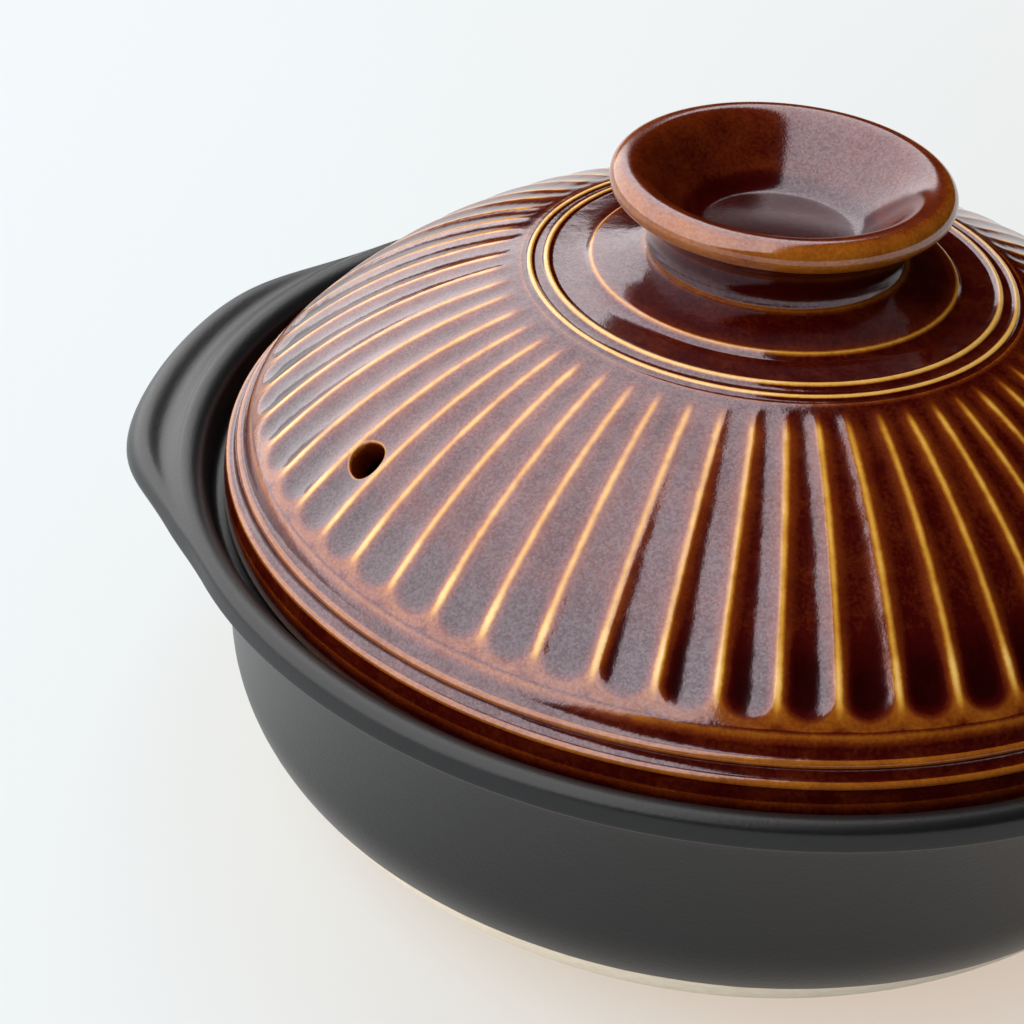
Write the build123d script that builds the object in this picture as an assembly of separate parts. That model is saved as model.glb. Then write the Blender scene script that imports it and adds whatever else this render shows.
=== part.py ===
from build123d import *

import os
from math import asin, atan2, cos, degrees, pi, radians, sin, sqrt

# Donabe clay pot: a wide stoneware bowl with two luted lugs, and a fluted, domed lid with its knob.
# Millimetres, +Z up. The origin is the centre of the foot, on the surface the pot stands on, and
# the lugs lie along X. Every profile is drawn as (radius, height) and turned about Z.

# Directions in a half profile, in degrees from straight outward
OUTWARD = 0.0
UP = 90.0
INWARD = 180.0
DOWN = 270.0

# Bowl, outside. An inset is measured in from the radius before it, a drop down from the rim.
rim_radius = 125.0
rim_height = 80.0
rim_lip_drop = 5.3
rim_shoulder = 2.1
rim_flank_inset = 0.3
neck_inset = 7.1
neck_drop = 11.5
hip_inset = 5.0
hip_height = 38.0
hip_turn = 26.0
hip_slope = 60.0
wall_slope = 86.5
foot_inset = 32.9
foot_width = 14.0
foot_recess_depth = 1.5
foot_edge_radius = 2.5

# Bowl, inside of the rim and the gallery with the ledge for the lid
rim_width = 6.1
rim_inner_drop = 1.5
gallery_top_inset = 0.7
gallery_top_drop = 3.2
gallery_inset = 1.7
gallery_depth = 9.0
gallery_fillet = 1.8
ledge_width = 9.7
ledge_rounding = 1.2

# Bowl, inside
wall_thickness = 8.7
inner_wall_rise = 4.0
floor_height = 9.0
floor_inset = 30.2
floor_rise = 3.2

# Lugs: the section at the middle, beyond the rim's edge and below its crest, and the point inside the
# rim that it is drawn together to on its way to the ends
lug_top_inset = 4.4
lug_top_drop = 1.0
lug_overhang = 12.0
lug_edge_drop = 6.6
lug_valley_overhang = 3.2
lug_valley_drop = 2.7
lug_brow_overhang = 7.6
lug_brow_drop = 1.4
lug_under_overhang = 8.6
lug_under_drop = 12.4
lug_root_inset = 2.4
lug_root_drop = 20.0
lug_anchor_inset = 6.0
lug_anchor_drop = 4.5
lug_top_slope = -12.0
lug_root_slope = 202.0
lug_half_angle = 38.0
# Angle from the middle as a share of the half angle, and the size of the section there
lug_angle_shares = (0.0, 0.34, 0.56, 0.76, 1.0)
lug_section_shares = (1.0, 0.96, 0.62, 0.26, 0.10)

# Lid, edge and skirt
lid_gap = 2.9
seat_gap = 0.3
lid_edge_rounding = 1.5
lid_rest_width = 7.0
edge_ring_rise = 9.45
edge_ring_inset = 0.6
edge_ring_pitch = 3.85
edge_ring_rounding = 0.9
edge_ring_lean = 54.0
lid_edge_drop = 4.2
skirt_width = 5.7
skirt_rise = 7.0

# Lid, dome
dome_centre_radius = 17.6
skirt_lean = 49.0
lid_thickness = 6.5

# Lid, disc and collars
seat_margin = 0.5
seat_rise = 1.1
seat_slope = -30.0
disc_width = 11.0
disc_drop = 0.25
disc_lip = 0.7
disc_step = 1.5
collar_gap = 8.8
collar_rise = 0.15
collar_pitch = 3.5
collar_rounding = 0.8
collar_lean = 14.0

# Flutes and steam hole
flute_count = 58
flute_top_gap = 5.7
flute_end_gap = 5.2
flute_end_depth = 1.0
ridge_width = 0.9
steam_angle = 221.0
steam_inset = 9.8
steam_diameter = 8.2

# Knob
knob_foot_radius = 27.1
knob_foot_slope = 112.0
knob_neck_inset = 0.1
knob_neck_height = 4.3
knob_overhang = 8.5
knob_lip_turn = 3.3
knob_lip_start = 30.0
knob_height = 17.9
dish_brow_inset = 5.3
dish_brow_drop = 1.6
dish_edge_inset = 2.0
dish_edge_drop = 4.3
dish_floor_inset = 8.0
dish_floor_rise = 1.8
dish_depth = 13.6

# Film of slip under a lug
slip_film = 0.1

# Worked out from these: bowl
neck_radius = rim_radius - neck_inset
hip_radius = neck_radius - hip_inset
foot_radius = hip_radius - foot_inset
foot_recess_radius = foot_radius - foot_width
rim_inner_radius = rim_radius - rim_width
gallery_radius = rim_inner_radius - gallery_inset
gallery_height = rim_height - gallery_depth
inner_wall_radius = hip_radius - wall_thickness

# Worked out: lid
rest_height = gallery_height + seat_gap
lid_edge_radius = gallery_radius - lid_gap
edge_ring_radius = lid_edge_radius - edge_ring_inset
edge_ring_height = rest_height + edge_ring_rise
skirt_radius = lid_edge_radius - skirt_width
skirt_height = edge_ring_height + skirt_rise
dome_turn = (skirt_radius - dome_centre_radius) / sin(radians(skirt_lean))
dome_centre_height = skirt_height - dome_turn * cos(radians(skirt_lean))
seat_radius = knob_foot_radius + seat_margin
seat_height = dome_centre_height + dome_turn + seat_rise
disc_radius = seat_radius + disc_width
collar_radius = disc_radius + collar_gap
outer_collar_radius = collar_radius + collar_pitch
flute_top_radius = outer_collar_radius + flute_top_gap
flute_end_radius = skirt_radius - flute_end_gap
steam_radius = flute_end_radius - steam_inset


def dome_at(radius, depth=0.0):
    """Point on the dome's arc, or that far below it along its normal."""
    side = (radius - dome_centre_radius) / dome_turn
    return radius - depth * side, dome_centre_height + (dome_turn - depth) * sqrt(1 - side * side)


def dome_lean(radius):
    """Angle of the dome's normal from the vertical, in radians."""
    return asin((radius - dome_centre_radius) / dome_turn)


def under_at(radius):
    """Point on the lid's underside."""
    turn = dome_turn - lid_thickness
    return radius, dome_centre_height + sqrt(turn ** 2 - (radius - dome_centre_radius) ** 2)


def at(point):
    return point[0], 0, point[1]


def flat(*points):
    return Polyline(*[at(p) for p in points])


def arc(start, middle, end):
    return ThreePointArc(at(start), at(middle), at(end))


def smooth(points, start, end):
    """Curve through the points that leaves and arrives in the two directions."""
    tangents = [(cos(radians(way)), 0, sin(radians(way))) for way in (start, end)]
    return Spline(*[at(p) for p in points], tangents=tangents)


def bends(way, *points):
    """Tangent arcs through the points. The first leaves in the given direction, in degrees."""
    edges = []
    for start, end in zip(points, points[1:]):
        tangent = (cos(radians(way)), 0, sin(radians(way)))
        edges.append(TangentArc(at(start), at(end), tangent=tangent))
        way = 2 * degrees(atan2(end[1] - start[1], end[0] - start[0])) - way
    return edges


def turned(edges):
    """Solid from a closed half profile. Its seam lies on Y, clear of the lugs."""
    return Rot(0, 0, 90) * revolve(make_face(edges), Axis.Z)


def hip_centre():
    top = radians(wall_slope)
    return hip_radius - hip_turn * sin(top), hip_height + hip_turn * cos(top)


def on_hip(way):
    """Point of the hip's arc where the outside runs in that direction."""
    centre = hip_centre()
    return centre[0] + hip_turn * sin(radians(way)), centre[1] - hip_turn * cos(radians(way))


def rim_crest():
    return rim_radius - rim_flank_inset - rim_shoulder, rim_height


def outer_wall():
    """Outside of the bowl from the top of its hip to the crest of its rim."""
    lip = (rim_radius, rim_height - rim_lip_drop)
    shoulder = (rim_radius - rim_flank_inset, rim_height - rim_shoulder)
    return [
        *bends(wall_slope, on_hip(wall_slope), (neck_radius, rim_height - neck_drop), lip),
        flat(lip, shoulder),
        *bends(UP, shoulder, rim_crest()),
    ]


def bowl():
    foot_inner = foot_recess_radius + foot_recess_depth
    foot_top = (foot_radius + foot_edge_radius, foot_edge_radius)
    rim_inner = (rim_inner_radius, rim_height - rim_inner_drop)
    gallery_top = (rim_inner_radius - gallery_top_inset, rim_height - gallery_top_drop)
    gallery_low = (gallery_radius, gallery_height + gallery_fillet)
    gallery_foot = (gallery_radius - gallery_fillet, gallery_height)
    ledge_radius = gallery_radius - ledge_width
    ledge_top = (ledge_radius + ledge_rounding, gallery_height)
    ledge_low = (ledge_radius, gallery_height - ledge_rounding)
    wall_low = (inner_wall_radius, hip_height + inner_wall_rise)
    floor_edge = (inner_wall_radius - floor_inset, floor_height + floor_rise)
    outside = [
        flat((0, floor_height), (0, foot_recess_depth), (foot_recess_radius, foot_recess_depth),
             (foot_inner, 0), (foot_radius, 0)),
        *bends(OUTWARD, (foot_radius, 0), foot_top),
        *bends(hip_slope + INWARD, on_hip(hip_slope), foot_top),
        arc(on_hip(hip_slope), on_hip((hip_slope + wall_slope) / 2), on_hip(wall_slope)),
        *outer_wall(),
    ]
    rim = [
        *bends(INWARD, rim_crest(), rim_inner, gallery_top),
        flat(gallery_top, gallery_low),
        *bends(DOWN, gallery_low, gallery_foot),
        flat(gallery_foot, ledge_top),
        *bends(INWARD, ledge_top, ledge_low),
    ]
    inside = [
        flat(ledge_low, wall_low),
        *bends(OUTWARD, (0, floor_height), floor_edge, wall_low),
    ]
    return turned(outside + rim + inside)


def lug_section(angle, share):
    """Radial section of a lug: its top with the finger valley, its rounded edge and its underside."""
    full = [(rim_radius - lug_top_inset, rim_height - lug_top_drop),
            (rim_radius + lug_valley_overhang, rim_height - lug_valley_drop),
            (rim_radius + lug_brow_overhang, rim_height - lug_brow_drop),
            (rim_radius + lug_overhang, rim_height - lug_edge_drop),
            (rim_radius + lug_under_overhang, rim_height - lug_under_drop),
            (neck_radius - lug_root_inset, rim_height - lug_root_drop)]
    anchor = (rim_radius - lug_anchor_inset, rim_height - lug_anchor_drop)
    top, valley, brow, edge, under, root = [
        tuple(c + (v - c) * share for c, v in zip(anchor, point)) for point in full]
    outline = [
        smooth([top, valley, brow, edge], lug_top_slope, DOWN),
        smooth([edge, under, root], DOWN, lug_root_slope),
        flat(root, top),
    ]
    return Rot(0, 0, angle) * make_face(outline)


def lug():
    """Wing on the +X side, lofted between its ends inside the rim and cut to the bowl's outside."""
    half = []
    for angle_share, section_share in zip(lug_angle_shares, lug_section_shares):
        half.append((lug_half_angle * angle_share, section_share))
    sections = [lug_section(-angle, share) for angle, share in reversed(half)]
    sections += [lug_section(angle, share) for angle, share in half[1:]]
    core_radius = hip_radius / 2
    closing = flat(rim_crest(), (core_radius, rim_height), (core_radius, hip_height), on_hip(wall_slope))
    core = offset(make_face([*outer_wall(), closing]), slip_film)
    return (loft(sections) - turned(core.edges())).solid()


def bead(crest, rounding, lean):
    """Half-round ring: its foot, its crest and its other foot, leaning with the surface it stands on."""
    side = sin(radians(lean))
    rise = cos(radians(lean))
    feet = [(crest[0] + way * rounding * rise - rounding * side,
             crest[1] - way * rounding * side - rounding * rise) for way in (-1, 1)]
    return feet[0], crest, feet[1]


def lid_blank():
    """The lid as thrown, before the flutes are cut."""
    rest_inner = lid_edge_radius - lid_rest_width
    disc_height = dome_at(disc_radius)[1] - disc_drop
    disc_top = (disc_radius - disc_lip, disc_height)
    disc_edge = (disc_radius, disc_height - disc_lip)
    disc_foot = (disc_radius + disc_lip, disc_height - disc_step)
    inner_crest = (collar_radius, dome_at(collar_radius)[1] + collar_rise)
    inner_collar = bead(inner_crest, collar_rounding, collar_lean)
    outer_crest = (outer_collar_radius, dome_at(outer_collar_radius)[1] + collar_rounding / 2)
    outer_collar = bead(outer_crest, collar_rounding, collar_lean)
    dome_top = dome_at(outer_collar_radius + 2 * collar_rounding)
    dome_low = dome_at(skirt_radius)
    ring_lean = radians(edge_ring_lean)
    high_crest = (edge_ring_radius - edge_ring_pitch * cos(ring_lean),
                  edge_ring_height + edge_ring_pitch * sin(ring_lean))
    high_ring = bead(high_crest, edge_ring_rounding, edge_ring_lean)
    low_ring = bead((edge_ring_radius, edge_ring_height), edge_ring_rounding, edge_ring_lean)
    edge_top = (lid_edge_radius, edge_ring_height - lid_edge_drop)
    edge_low = (lid_edge_radius, rest_height + lid_edge_rounding)
    edge_foot = (lid_edge_radius - lid_edge_rounding, rest_height)
    under_edge = under_at(rest_inner)
    under_top = (dome_centre_radius, dome_centre_height + dome_turn - lid_thickness)
    outside = [
        flat((0, seat_height), (seat_radius, seat_height)),
        *bends(seat_slope, (seat_radius, seat_height), disc_top, disc_edge),
        flat(disc_edge, disc_foot, inner_collar[0]),
        arc(*inner_collar),
        flat(inner_collar[2], outer_collar[0]),
        arc(*outer_collar),
        flat(outer_collar[2], dome_top),
        arc(dome_top, dome_at((dome_top[0] + skirt_radius) / 2), dome_low),
        flat(dome_low, high_ring[0]),
        arc(*high_ring),
        flat(high_ring[2], low_ring[0]),
        arc(*low_ring),
        flat(low_ring[2], edge_top, edge_low),
        *bends(DOWN, edge_low, edge_foot),
    ]
    inside = [
        flat(edge_foot, (rest_inner, rest_height), under_edge),
        arc(under_edge, under_at((rest_inner + dome_centre_radius) / 2), under_top),
        flat(under_top, (0, under_top[1]), (0, seat_height)),
    ]
    return turned(outside + inside)


def flute_cutter():
    """Round-nosed cutter for the flute on the +X side: a tube bent to an arc that sinks into the dome."""
    end_width = 2 * pi * flute_end_radius / flute_count - ridge_width
    turn = end_width ** 2 / (8 * flute_end_depth) + flute_end_depth / 2
    stops = []
    for radius in (flute_top_radius, (flute_top_radius + flute_end_radius) / 2, flute_end_radius):
        width = 2 * pi * radius / flute_count - ridge_width
        stops.append(at(dome_at(radius, -sqrt(turn ** 2 - width ** 2 / 4))))
    path = ThreePointArc(*stops)
    across = Plane(origin=path @ 0, x_dir=path @ 0 - path.arc_center, z_dir=path % 0)
    bend = Axis(path.arc_center, (0, 1, 0))
    tube = revolve(across * Circle(turn), bend, revolution_arc=degrees(path.length / path.radius))
    nose = Rot(UP, 0, 0) * Rot(0, 0, UP) * Sphere(turn)
    return tube + [Pos(*stops[0]) * nose, Pos(*stops[-1]) * nose]


def lid():
    lean = degrees(dome_lean(steam_radius))
    drill = Pos(*at(dome_at(steam_radius))) * Rot(0, lean, 0) * Cylinder(steam_diameter / 2, 4 * lid_thickness)
    cutter = flute_cutter()
    tools = [Rot(0, 0, steam_angle) * drill]
    tools += [Rot(0, 0, steam_angle + i * 360 / flute_count) * cutter for i in range(flute_count)]
    return (lid_blank() - tools).solid()


def knob():
    """Dished knob, luted to the disc at its foot."""
    base = seat_height
    top = base + knob_height
    neck = (knob_foot_radius - knob_neck_inset, base + knob_neck_height)
    lip_radius = knob_foot_radius + knob_overhang
    lip_centre = (lip_radius - knob_lip_turn, top - knob_lip_turn)
    start = radians(knob_lip_start)
    lip_low = (lip_centre[0] + knob_lip_turn * sin(start), lip_centre[1] - knob_lip_turn * cos(start))
    lip_top = (lip_centre[0], top)
    dish_low = (0, top - dish_depth)
    dish_brow = (lip_centre[0] - dish_brow_inset, top - dish_brow_drop)
    dish_edge = (dish_brow[0] - dish_edge_inset, top - dish_edge_drop)
    dish_floor = (dish_edge[0] - dish_floor_inset, dish_low[1] + dish_floor_rise)
    profile = [
        flat(dish_low, (0, base), (knob_foot_radius, base)),
        *bends(knob_foot_slope, (knob_foot_radius, base), neck, lip_low),
        arc(lip_low, (lip_radius, lip_centre[1]), lip_top),
        *bends(OUTWARD, dish_low, dish_floor, dish_edge, dish_brow, lip_top),
    ]
    return turned(profile)


if __name__ == "__main__":
    os.makedirs("parts", exist_ok=True)
    right = lug()
    parts = {
        "pot_bowl": bowl(),
        "handle_right": right,
        "handle_left": Rot(0, 0, 180) * right,
        "lid_shell": lid(),
        "lid_knob": knob(),
    }
    for name, shape in parts.items():
        print(name, round(shape.volume), "mm3,", len(shape.solids()), "solid")
        export_step(shape, f"parts/{name}.step")
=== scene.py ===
import math

import bmesh
import bpy
import numpy as np
from mathutils import Matrix, Vector
from mathutils.bvhtree import BVHTree


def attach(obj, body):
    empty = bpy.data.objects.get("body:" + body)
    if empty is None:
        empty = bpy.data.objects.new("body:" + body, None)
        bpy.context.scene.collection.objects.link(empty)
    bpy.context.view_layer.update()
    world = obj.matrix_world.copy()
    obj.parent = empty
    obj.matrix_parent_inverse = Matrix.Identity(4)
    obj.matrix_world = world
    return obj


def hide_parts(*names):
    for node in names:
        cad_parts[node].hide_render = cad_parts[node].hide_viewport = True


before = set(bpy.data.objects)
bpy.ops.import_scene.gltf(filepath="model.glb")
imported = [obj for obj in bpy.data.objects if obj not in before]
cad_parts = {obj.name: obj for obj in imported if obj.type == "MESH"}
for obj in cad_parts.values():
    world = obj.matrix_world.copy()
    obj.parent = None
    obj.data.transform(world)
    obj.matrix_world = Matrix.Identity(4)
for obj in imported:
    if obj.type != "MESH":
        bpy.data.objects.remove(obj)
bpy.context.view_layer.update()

# Metres everywhere in Blender; the sizes below are written in millimetres and go through mm.
mm = 0.001
outward, up, inward, down = 0.0, 90.0, 180.0, 270.0      # directions in a half profile, in degrees

# The camera that took the photograph, in the frame of the object
cameraView = {
    "place": (31.52, -450.71, 357.13),
    "target": (0.0, 0.0, 80.0),
    "pan": 5.40,
    "tilt": 2.11,
    "roll": 7.27,
    "focalPixels": 2408.8,
    "imagePixels": 1024,
    "sensorWidth": 36.0,
    "heading": 4.0,
    "nearClip": 0.01,
}


def linear(hexColour):
    values = [int(hexColour[i:i + 2], 16) / 255 for i in (1, 3, 5)]
    return (*[v / 12.92 if v <= 0.04045 else ((v + 0.055) / 1.055) ** 2.4 for v in values], 1.0)


# Adds a node, with its settings and with links or values for its inputs
def addNode(tree, kind, links=None, **settings):
    node = tree.nodes.new(kind)
    for name, value in settings.items():
        setattr(node, name, value)
    for name, value in (links or {}).items():
        if isinstance(value, bpy.types.NodeSocket):
            tree.links.new(value, node.inputs[name])
        else:
            node.inputs[name].default_value = value
    return node


def calc(tree, operation, *values, clamp=False):
    node = addNode(tree, "ShaderNodeMath", dict(enumerate(values)), operation=operation, use_clamp=clamp)
    return node.outputs[0]


# Profiles: lists of (radius, height) in mm, run so that the clay is on their left

# Tangent arcs through the points, the first one leaving in the given direction
def bends(way, *points, step=0.08):
    path = [points[0]]
    for start, end in zip(points, points[1:]):
        chord = math.hypot(end[0] - start[0], end[1] - start[1])
        turn = math.atan2(end[1] - start[1], end[0] - start[0]) - math.radians(way)
        turn = (turn + math.pi) % math.tau - math.pi
        count = max(2, math.ceil(chord / step))
        for i in range(1, count + 1):
            share = i / count
            reach = chord * (math.sin(share * turn) / math.sin(turn) if abs(turn) > 1e-5 else share)
            heading = math.radians(way) + share * turn
            path.append((start[0] + reach * math.cos(heading), start[1] + reach * math.sin(heading)))
        way += 2 * math.degrees(turn)
    return path


# Arc about a centre between two directions seen from it, in degrees
def sweep(centre, turn, start, end, step=0.08):
    count = max(2, math.ceil(abs(math.radians(end - start)) * turn / step))
    angles = [math.radians(start + (end - start) * i / count) for i in range(count + 1)]
    return [(centre[0] + turn * math.cos(a), centre[1] + turn * math.sin(a)) for a in angles]


# Evenly spaced points of a broken line, its corners softened as by a coat of glaze
def glazed(path, coat, step=0.05):
    path = np.array(path, float)
    lengths = np.concatenate([[0], np.cumsum(np.hypot(*np.diff(path, axis=0).T))])
    keep = np.concatenate([[True], np.diff(lengths) > 1e-9])
    path, lengths = path[keep], lengths[keep]
    count = int(lengths[-1] / step)
    even = np.linspace(0, lengths[-1], count + 1)
    fine = np.stack([np.interp(even, lengths, path[:, i]) for i in (0, 1)], axis=1)
    reach = int(3 * coat / step)
    weights = np.exp(-0.5 * (np.arange(-reach, reach + 1) * step / coat) ** 2)
    weights /= weights.sum()
    before = 2 * fine[0] - fine[1:reach + 1][::-1]
    after = 2 * fine[-1] - fine[-reach - 1:-1][::-1]
    padded = np.concatenate([before, fine, after])
    return np.stack([np.convolve(padded[:, i], weights, mode="valid") for i in (0, 1)], axis=1)


# How strongly a fine profile bulges (above zero) or hollows at each of its points, in 1/mm
def bulgeOf(fine, blur=8):
    runs = np.diff(fine, axis=0)
    headings = np.unwrap(np.arctan2(runs[:, 1], runs[:, 0]))
    turns = np.zeros(len(fine))
    turns[1:-1] = np.diff(headings) / np.hypot(*runs[1:].T)
    weights = np.hanning(2 * blur + 3)[1:-1]
    return np.convolve(turns, weights / weights.sum(), mode="same")


# Picks rows of a fine profile, close together where it bends
def rowsOf(fine, count, longest=3.0, sharpest=9.0):
    runs = np.hypot(*np.diff(fine, axis=0).T)
    headings = np.unwrap(np.arctan2(*np.diff(fine, axis=0).T[::-1]))
    turns = np.abs(np.diff(headings, prepend=headings[0]))
    need = np.concatenate([[0], np.cumsum(runs / longest + turns / math.radians(sharpest))])
    return np.interp(np.linspace(0, need[-1], count), need, np.arange(len(fine)))


# A mesh turned on the wheel: one vertex row for each picked point, with the bulge of the profile on it
def turnOnWheel(name, fine, rows, angles):
    index = np.arange(len(fine))
    radius = np.interp(rows, index, fine[:, 0])
    height = np.interp(rows, index, fine[:, 1])
    bulge = np.interp(rows, index, bulgeOf(fine))
    radius[0] = radius[-1] = 0
    count = len(angles)
    body = np.stack([np.outer(radius[1:-1], np.cos(angles)), np.outer(radius[1:-1], np.sin(angles)),
                     np.outer(height[1:-1], np.ones(count))], axis=2).reshape(-1, 3)
    points = np.concatenate([body, [[0, 0, height[0]], [0, 0, height[-1]]]])
    faces = []
    for i in range(len(rows) - 3):
        for j in range(count):
            k = (j + 1) % count
            faces.append((i * count + j, i * count + k, (i + 1) * count + k, (i + 1) * count + j))
    lastRow = (len(rows) - 3) * count
    for j in range(count):
        k = (j + 1) % count
        faces.append((len(body), k, j))
        faces.append((len(body) + 1, lastRow + j, lastRow + k))
    mesh = bpy.data.meshes.new(name)
    mesh.from_pydata((points * mm).tolist(), [], faces)
    mesh.shade_smooth()
    values = np.concatenate([np.repeat(bulge[1:-1], count), [bulge[0], bulge[-1]]])
    mesh.attributes.new("bulge", "FLOAT", "POINT").data.foreach_set("value", values.astype(np.float32))
    piece = bpy.data.objects.new(name, mesh)
    bpy.context.scene.collection.objects.link(piece)
    return piece


# Pot: thrown bowl with its foot, hip, cove, flared rim and the ledge that the lid rests on

pot = {
    "footRecess": (66.0, 1.5),
    "footRadius": 80.0,
    "footEdge": 2.5,
    "hipTop": (112.9, 38.0),
    "hipTurn": 26.0,
    "hipSlope": 60.0,
    "wallSlope": 86.5,
    "neck": (117.9, 68.5),
    "lip": (125.0, 74.7),
    "shoulder": (124.7, 77.9),
    "crest": (122.6, 80.0),
    "rimInner": (118.9, 78.5),
    "galleryTop": (118.2, 76.8),
    "gallery": (117.2, 71.0),
    "galleryFillet": 1.8,
    "ledge": (107.5, 71.0),
    "ledgeRounding": 1.2,
    "wallLow": (104.2, 42.0),
    "floorEdge": (74.0, 12.2),
    "floorHeight": 9.0,
    "coat": 0.35,
    "rows": 190,
    "columns": 288,
}


def hipPoint(way):
    top = math.radians(pot["wallSlope"])
    turn = pot["hipTurn"]
    centre = (pot["hipTop"][0] - turn * math.sin(top), pot["hipTop"][1] + turn * math.cos(top))
    return centre[0] + turn * math.sin(math.radians(way)), centre[1] - turn * math.cos(math.radians(way))


# Outside of the wall from the top of the hip to the crest of the rim
def outerWall():
    return [
        *bends(pot["wallSlope"], hipPoint(pot["wallSlope"]), pot["neck"], pot["lip"]),
        *bends(up, pot["shoulder"], pot["crest"]),
    ]


def potProfile():
    footTop = (pot["footRadius"] + pot["footEdge"], pot["footEdge"])
    fillet = pot["galleryFillet"]
    lowRadius, lowHeight = pot["gallery"]
    ledgeRadius, ledgeHeight = pot["ledge"]
    rounding = pot["ledgeRounding"]
    hip = bends(pot["hipSlope"] + inward, hipPoint(pot["hipSlope"]), footTop)
    outside = [
        (0, pot["footRecess"][1]), pot["footRecess"],
        (pot["footRecess"][0] + pot["footRecess"][1], 0),
        *bends(outward, (pot["footRadius"], 0), footTop),
        *hip[::-1],
        *bends(pot["hipSlope"], hipPoint(pot["hipSlope"]), hipPoint(pot["wallSlope"])),
        *outerWall(),
    ]
    inside = [
        *bends(inward, pot["crest"], pot["rimInner"], pot["galleryTop"]),
        *bends(down, (lowRadius, lowHeight + fillet), (lowRadius - fillet, lowHeight)),
        *bends(inward, (ledgeRadius + rounding, ledgeHeight), (ledgeRadius, ledgeHeight - rounding)),
    ]
    floor = bends(outward, (0, pot["floorHeight"]), pot["floorEdge"], pot["wallLow"])
    return outside + inside + floor[::-1]


def evenAngles(count):
    return np.arange(count) * math.tau / count


potFine = glazed(potProfile(), pot["coat"])
potPiece = turnOnWheel("pot_body", potFine, rowsOf(potFine, pot["rows"]), evenAngles(pot["columns"]))
print("pot turned")


# Lugs: a wing on each side that grows out of the rim, with a finger valley on top

lug = {
    "valley": (128.2, 77.3),
    "brow": (132.6, 78.6),
    "edge": (137.0, 73.4),
    "under": (133.6, 67.6),
    "root": (117.0, 61.2),
    "wallMarks": ((124.2, 79.2), (120.5, 70.6)),     # on the wall, beside the valley and beside the underside
    "wallEnd": (114.75, 56.0),
    "topSlope": -10.0,
    "endSlope": 266.5,
    "halfAngle": 41.0,
    "turned": -2.5,
    "fade": 23.4,
    "fadePower": 5.66,
    "fadeStart": 30.0,
    "rowsPerSpan": 12,
    "columns": 161,
    "inset": 0.6,
    "sink": 0.06,
    "sinkRows": 10,
    "sinkBorder": 12,
    "smoothing": 3,
    "sharpest": 50.0,
}


def nearest(path, point):
    return int(np.argmin(np.hypot(*(np.array(path) - point).T)))


# Cubic curve through the points that leaves and arrives in the two directions, with steps per span
def smoothCurve(points, start, end, steps=40):
    points = np.array(points, float)
    knots = np.concatenate([[0], np.cumsum(np.hypot(*np.diff(points, axis=0).T))])
    gaps = np.diff(knots)
    count = len(points)
    matrix = np.zeros((count, count))
    sides = np.zeros((count, 2))
    matrix[0, 0] = matrix[-1, -1] = 1
    sides[0] = math.cos(math.radians(start)), math.sin(math.radians(start))
    sides[-1] = math.cos(math.radians(end)), math.sin(math.radians(end))
    for i in range(1, count - 1):
        matrix[i, i - 1], matrix[i, i], matrix[i, i + 1] = gaps[i], 2 * (gaps[i - 1] + gaps[i]), gaps[i - 1]
        sides[i] = 3 * (gaps[i] * (points[i] - points[i - 1]) / gaps[i - 1]
                        + gaps[i - 1] * (points[i + 1] - points[i]) / gaps[i])
    slopes = np.linalg.solve(matrix, sides)
    path = [tuple(points[0])]
    for i in range(count - 1):
        for t in np.arange(1, steps + 1) / steps:
            place = points[i] * (2 * t ** 3 - 3 * t ** 2 + 1)
            place = place + slopes[i] * gaps[i] * (t ** 3 - 2 * t ** 2 + t)
            place = place + points[i + 1] * (3 * t ** 2 - 2 * t ** 3)
            place = place + slopes[i + 1] * gaps[i] * (t ** 3 - t ** 2)
            path.append(tuple(place))
    return path


# The same number of points on each span between the marks of a path
def spaced(path, marks, count):
    path = np.array(path)
    rows = []
    for start, end in zip(marks, marks[1:]):
        part = path[start:end + 1]
        lengths = np.concatenate([[0], np.cumsum(np.hypot(*np.diff(part, axis=0).T))])
        even = np.linspace(0, lengths[-1], count + 1)[:-1]
        rows += list(zip(*[np.interp(even, lengths, part[:, i]) for i in (0, 1)]))
    return np.array(rows + [tuple(path[marks[-1]])])


def smoothed(rows, times):
    for _ in range(times):
        rows[1:-1] = (rows[:-2] + 2 * rows[1:-1] + rows[2:]) / 4
    return rows


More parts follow.
